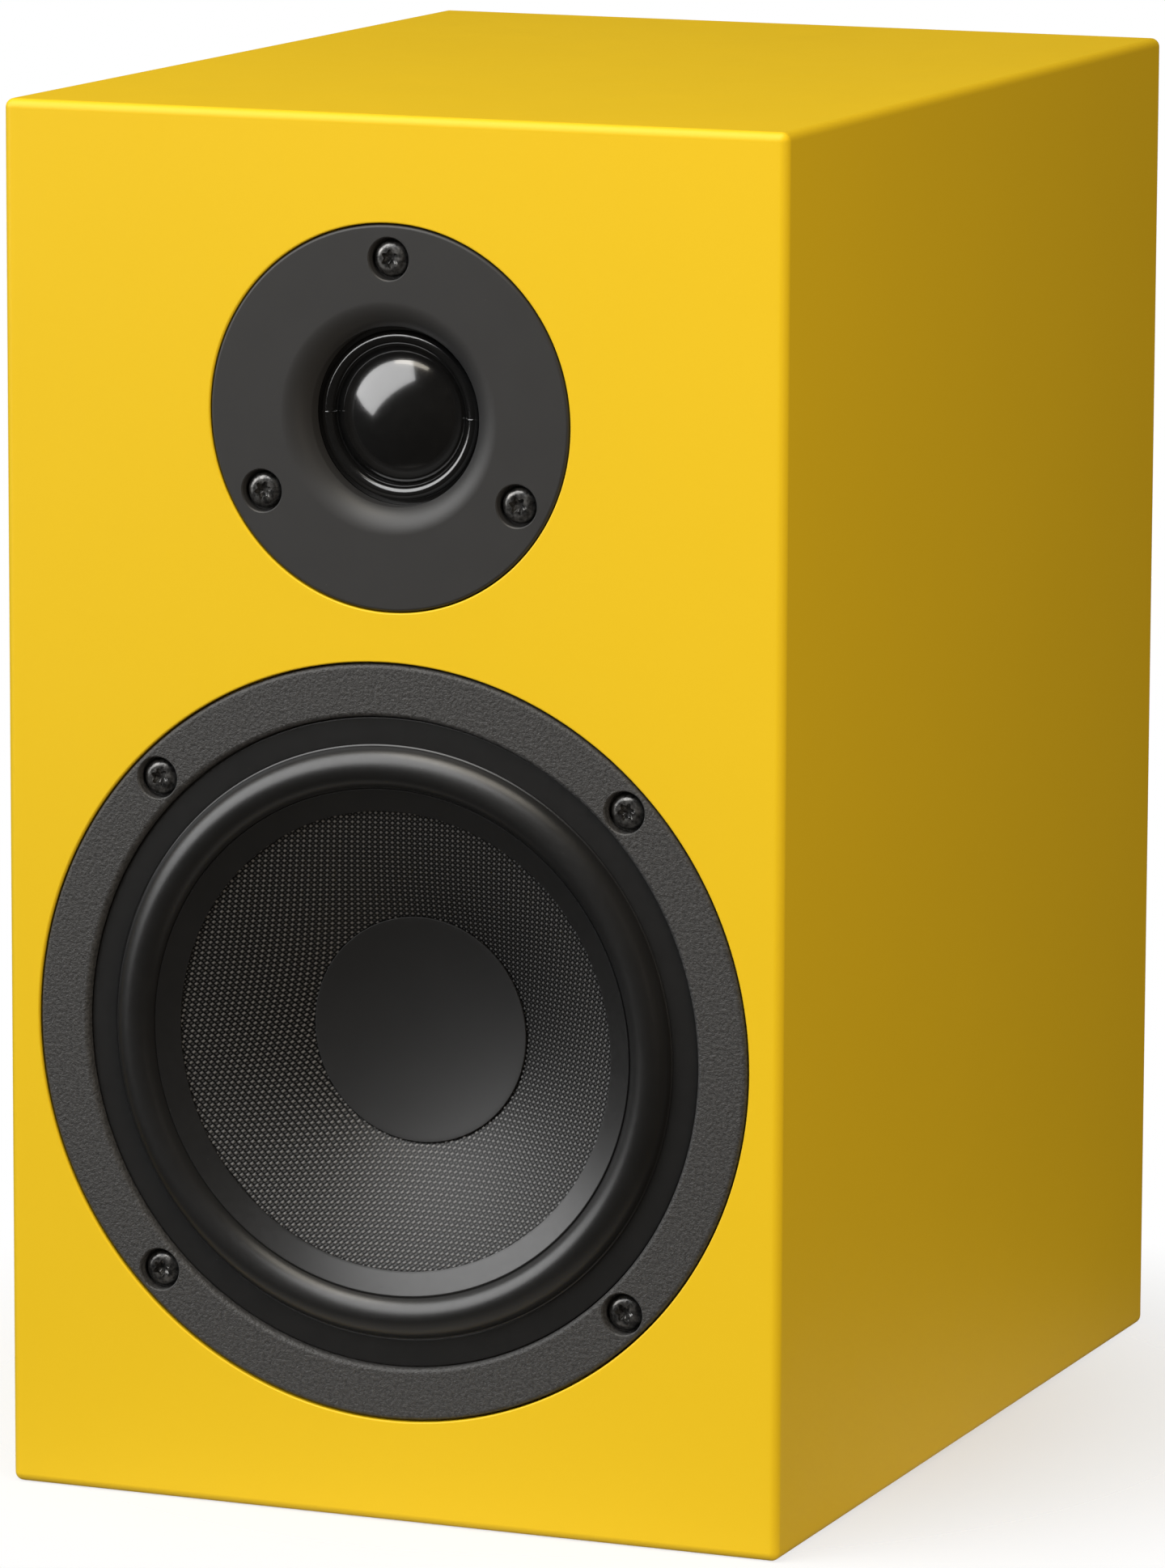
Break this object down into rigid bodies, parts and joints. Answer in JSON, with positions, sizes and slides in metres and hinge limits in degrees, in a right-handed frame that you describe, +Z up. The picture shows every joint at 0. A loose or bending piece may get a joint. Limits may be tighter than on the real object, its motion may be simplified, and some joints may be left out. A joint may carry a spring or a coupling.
{
  "type": "bookshelf loudspeaker",
  "caption": "Two-way bookshelf loudspeaker in a lacquered box, with a dome tweeter over a woven-cone woofer and a port and terminals behind.",
  "frame": {"origin": "centre of the cabinet's flat underside", "axes": "+X to the right as seen from the front, -Y out of the front baffle, +Z up"},
  "size_m": [0.162, 0.2215, 0.274],
  "materials": {
    "yellow_lacquer": "satin lacquer over medium-density fibreboard",
    "flange_coating": "cast alloy with a fine grained black coating",
    "faceplate_plastic": "moulded, satin black",
    "black_rubber": "smooth half-roll rubber",
    "woven_cone": "woven fibre in clear resin, dark grey",
    "cap_plastic": "smooth satin black",
    "coated_silk": "silk with a glossy black coating",
    "foam": "closed-cell sealing foam",
    "black_screw": "black oxidised steel",
    "alloy_former": "thin rolled sheet",
    "copper_wire": "enamelled copper winding",
    "spider_cloth": "resin-treated cotton",
    "zinc_steel": "zinc-plated steel",
    "ferrite": "sintered ferrite",
    "fibre_board": "pressed fibre board",
    "tinned_metal": "tinned brass",
    "felt": "grey felt",
    "port_plastic": "moulded, fine grained black",
    "cup_plastic": "moulded, fine grained black",
    "gilt_brass": "gold-plated brass",
    "red_plastic": "clear-coated red",
    "black_plastic": "gloss black",
    "nylon": "natural nylon",
    "film_capacitor": "wrapped film",
    "resistor_ceramic": "cement body",
    "wire_sleeve": "soft insulation",
    "wadding_fibre": "bonded polyester fibre"
  },
  "bodies": {
    "cabinet": {"front_baffle": "yellow_lacquer", "rear_panel": "yellow_lacquer", "top_panel": "yellow_lacquer", "bottom_panel": "yellow_lacquer", "left_side_panel": "yellow_lacquer", "right_side_panel": "yellow_lacquer", "woofer_basket": "flange_coating", "woofer_gasket": "foam", "woofer_screws": "black_screw", "woofer_surround": "black_rubber", "woofer_spider": "spider_cloth", "woofer_top_plate": "zinc_steel", "woofer_rivets": "zinc_steel", "woofer_magnet": "ferrite", "woofer_yoke": "zinc_steel", "woofer_terminal_board": "fibre_board", "woofer_blades": "tinned_metal", "woofer_tinsel_leads": "copper_wire", "tweeter_faceplate": "faceplate_plastic", "tweeter_gasket": "foam", "tweeter_screws": "black_screw", "tweeter_surround": "coated_silk", "tweeter_top_plate": "zinc_steel", "tweeter_magnet": "ferrite", "tweeter_yoke": "zinc_steel", "tweeter_felt_pad": "felt", "tweeter_terminal_board": "fibre_board", "tweeter_blades": "tinned_metal", "port_tube": "port_plastic", "terminal_cup": "cup_plastic", "cup_gasket": "foam", "cup_screws": "black_screw", "red_post": "gilt_brass", "black_post": "gilt_brass", "post_nuts": "gilt_brass", "post_lugs": "tinned_metal", "crossover_board": "fibre_board", "crossover_spacers": "nylon", "crossover_screws": "zinc_steel", "bass_inductor": "copper_wire", "treble_inductor": "copper_wire", "bass_capacitor": "film_capacitor", "treble_capacitor": "film_capacitor", "crossover_resistor": "resistor_ceramic", "push_on_sockets": "tinned_metal", "woofer_wires": "wire_sleeve", "tweeter_wires": "wire_sleeve", "input_wires": "wire_sleeve", "wadding": "wadding_fibre"},
    "woofer_motion": {"woofer_cone": "woven_cone", "woofer_dust_cap": "cap_plastic", "woofer_former": "alloy_former", "woofer_voice_coil": "copper_wire"},
    "tweeter_motion": {"tweeter_dome": "coated_silk", "tweeter_former": "alloy_former", "tweeter_voice_coil": "copper_wire"},
    "red_clamp": {"red_clamp_washer": "gilt_brass"},
    "red_nut": {"red_knob": "red_plastic"},
    "black_clamp": {"black_clamp_washer": "gilt_brass"},
    "black_nut": {"black_knob": "black_plastic"}
  },
  "joints": [
    {"name": "woofer_stroke", "type": "slide", "parent": "cabinet", "child": "woofer_motion", "axis": [0, -1, 0], "range_m": [-0.004, 0.004], "stiffness_N_per_m": 1000, "deforming": ["woofer_surround", "woofer_spider", "woofer_tinsel_leads"]},
    {"name": "tweeter_stroke", "type": "slide", "parent": "cabinet", "child": "tweeter_motion", "axis": [0, -1, 0], "range_m": [-0.0003, 0.0003], "stiffness_N_per_m": 2000, "deforming": ["tweeter_surround"]},
    {"name": "red_clamp_slide", "type": "slide", "parent": "cabinet", "child": "red_clamp", "axis": [0, 1, 0], "range_m": [0, 0.004]},
    {"name": "red_knob_turn", "type": "hinge", "parent": "red_clamp", "child": "red_nut", "pos_m": [0.015, 0.0917, 0.07], "axis": [0, 1, 0], "range_deg": [0, 1440]},
    {"name": "black_clamp_slide", "type": "slide", "parent": "cabinet", "child": "black_clamp", "axis": [0, 1, 0], "range_m": [0, 0.004]},
    {"name": "black_knob_turn", "type": "hinge", "parent": "black_clamp", "child": "black_nut", "pos_m": [-0.015, 0.0917, 0.07], "axis": [0, 1, 0], "range_deg": [0, 1440]}
  ],
  "couplings": [
    {"joint": "red_knob_turn", "follows": "red_clamp_slide", "rad_per_m": 6283.2},
    {"joint": "black_knob_turn", "follows": "black_clamp_slide", "rad_per_m": 6283.2}
  ]
}
